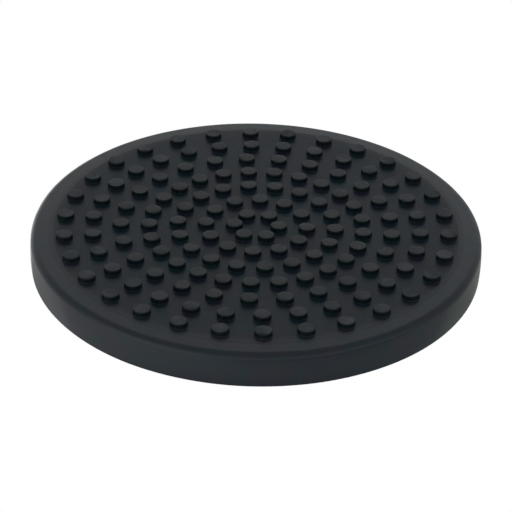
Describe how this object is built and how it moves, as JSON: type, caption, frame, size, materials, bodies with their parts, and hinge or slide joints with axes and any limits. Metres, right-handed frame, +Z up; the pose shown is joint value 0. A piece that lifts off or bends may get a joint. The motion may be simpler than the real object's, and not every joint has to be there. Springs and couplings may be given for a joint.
{
  "type": "snowboard stomp pad",
  "caption": "Round black rubber stomp pad with rings of flat grip studs, a foam tape disc under it and a split release liner over the tape.",
  "frame": {"origin": "centre of the underside of the release liner, in the plane that the pad rests on", "axes": "+Z is up out of the studded face; -Y is the direction in which every ring of studs has its first stud, so the YZ plane mirrors the stud pattern; the liner is slit along X"},
  "size_m": [0.1004, 0.1003, 0.0094],
  "materials": {
    "black_rubber": "matt moulded rubber, fine grain, near black with a cool cast",
    "foam_tape": "mid grey closed-cell acrylic foam with a tacky satin face",
    "release_paper": "silicone-coated kraft paper, pale straw, slightly glossy"
  },
  "bodies": {
    "pad": {"grip_pad": "black_rubber", "mounting_tape": "foam_tape"},
    "liner_front": {"liner_front": "release_paper"},
    "liner_back": {"liner_back": "release_paper"}
  },
  "joints": [
    {"name": "liner_front_pull", "type": "slide", "parent": "pad", "child": "liner_front", "axis": [0, -1, 0], "range_m": [0, 0.055]},
    {"name": "liner_back_pull", "type": "slide", "parent": "pad", "child": "liner_back", "axis": [0, 1, 0], "range_m": [0, 0.055]}
  ]
}
